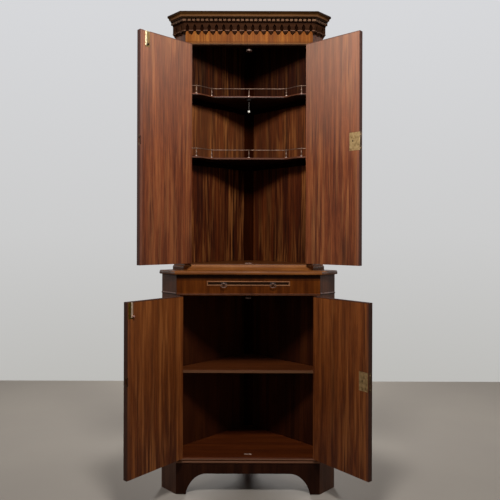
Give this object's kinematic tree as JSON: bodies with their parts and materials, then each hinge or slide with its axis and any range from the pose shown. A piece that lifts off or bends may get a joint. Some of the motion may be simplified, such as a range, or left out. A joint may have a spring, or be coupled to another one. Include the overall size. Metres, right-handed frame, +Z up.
{
  "type": "corner cupboard",
  "caption": "Tall corner cupboard in stacked cases, with paired plain doors, shaped shelves edged by brass galleries, a pull-out brushing slide, an arched plinth and a dentilled cornice.",
  "frame": {"origin": "on the floor, under the middle of the cupboard with its doors as they stand open", "axes": "+Z up, +Y back into the room's corner, +X to the right as seen from the front; the front faces -Y"},
  "size_m": [0.925, 0.6404, 2],
  "materials": {
    "mahogany": "french polished",
    "pale_mahogany": "french polished",
    "striped_mahogany": "waxed",
    "board_wood": "bare",
    "brass": "aged",
    "dark_plastic": "satin",
    "white_plastic": "glossy",
    "cord_fibre": "plain"
  },
  "bodies": {
    "case": {"lower_left_cant": "mahogany", "lower_right_cant": "mahogany", "lower_left_back": "striped_mahogany", "lower_right_back": "striped_mahogany", "lower_corner_strip": "board_wood", "plinth": "mahogany", "lower_bottom_board": "mahogany", "lower_shelf": "mahogany", "lower_frieze_rail": "pale_mahogany", "dust_board": "board_wood", "slide_guide": "board_wood", "waist_top": "pale_mahogany", "lower_door_stop": "brass", "lower_left_hinge_bottom": "brass", "lower_left_hinge_top": "brass", "lower_right_hinge_bottom": "brass", "lower_right_hinge_top": "brass", "upper_left_cant": "mahogany", "upper_right_cant": "mahogany", "upper_left_back": "striped_mahogany", "upper_right_back": "striped_mahogany", "upper_corner_strip": "board_wood", "upper_bottom_board": "pale_mahogany", "upper_top_board": "board_wood", "upper_frieze_rail": "pale_mahogany", "cornice_arcade": "mahogany", "cornice_dentils": "mahogany", "cornice_crown": "mahogany", "upper_door_stop": "brass", "low_shelf": "striped_mahogany", "low_shelf_bearer": "striped_mahogany", "low_gallery": "brass", "high_shelf": "striped_mahogany", "high_shelf_bearer": "striped_mahogany", "high_gallery": "brass", "upper_left_hinge_bottom": "brass", "upper_left_hinge_top": "brass", "upper_right_hinge_bottom": "brass", "upper_right_hinge_top": "brass", "pull_switch": "dark_plastic"},
    "slide": {"slide_board": "pale_mahogany", "left_pull_post": "brass", "right_pull_post": "brass"},
    "left_loop": {"left_pull_loop": "brass"},
    "right_loop": {"right_pull_loop": "brass"},
    "lower_left_leaf": {"lower_left_door": "mahogany", "lower_bolt_plate": "brass"},
    "lower_left_bolt": {"lower_bolt": "brass"},
    "lower_right_leaf": {"lower_right_door": "mahogany", "lower_lock": "brass"},
    "lower_right_lock_bolt": {"lower_lock_bolt": "brass"},
    "upper_left_leaf": {"upper_left_door": "mahogany", "upper_bolt_plate": "brass"},
    "upper_left_bolt": {"upper_bolt": "brass"},
    "upper_right_leaf": {"upper_right_door": "mahogany", "upper_lock": "brass"},
    "upper_right_lock_bolt": {"upper_lock_bolt": "brass"},
    "pull": {"pull_cord": "cord_fibre", "pull_bead": "white_plastic"}
  },
  "joints": [
    {"name": "lower_left_door_hinge", "type": "hinge", "parent": "case", "child": "lower_left_leaf", "pos_m": [-0.2835, -0.08842, 0.4855], "axis": [0, 0, -1], "range_deg": [-130, 45]},
    {"name": "lower_right_door_hinge", "type": "hinge", "parent": "case", "child": "lower_right_leaf", "pos_m": [0.2835, -0.08842, 0.4855], "axis": [0, 0, 1], "range_deg": [-130, 45]},
    {"name": "upper_left_door_hinge", "type": "hinge", "parent": "case", "child": "upper_left_leaf", "pos_m": [-0.2545, -0.02042, 1.409], "axis": [0, 0, -1], "range_deg": [-137, 38]},
    {"name": "upper_right_door_hinge", "type": "hinge", "parent": "case", "child": "upper_right_leaf", "pos_m": [0.2545, -0.02042, 1.409], "axis": [0, 0, 1], "range_deg": [-140, 35]},
    {"name": "slide_travel", "type": "slide", "parent": "case", "child": "slide", "axis": [0, -1, 0], "range_m": [0, 0.15]},
    {"name": "left_loop_swing", "type": "hinge", "parent": "slide", "child": "left_loop", "pos_m": [-0.101, -0.09412, 0.868], "axis": [-1, 0, 0], "range_deg": [-25, 95]},
    {"name": "right_loop_swing", "type": "hinge", "parent": "slide", "child": "right_loop", "pos_m": [0.101, -0.09412, 0.868], "axis": [-1, 0, 0], "range_deg": [-25, 95]},
    {"name": "lower_bolt_travel", "type": "slide", "parent": "lower_left_leaf", "child": "lower_left_bolt", "axis": [0, 0, 1], "range_m": [0, 0.012]},
    {"name": "upper_bolt_travel", "type": "slide", "parent": "upper_left_leaf", "child": "upper_left_bolt", "axis": [0, 0, 1], "range_m": [0, 0.012]},
    {"name": "lower_lock_bolt_travel", "type": "slide", "parent": "lower_right_leaf", "child": "lower_right_lock_bolt", "axis": [0.6428, -0.766, 0], "range_m": [0, 0.0065]},
    {"name": "upper_lock_bolt_travel", "type": "slide", "parent": "upper_right_leaf", "child": "upper_right_lock_bolt", "axis": [0.766, -0.6428, 0], "range_m": [0, 0.0065]},
    {"name": "pull_travel", "type": "slide", "parent": "case", "child": "pull", "axis": [0, 0, -1], "range_m": [0, 0.006], "stiffness_N_per_m": 150, "springref_m": -0.002}
  ]
}
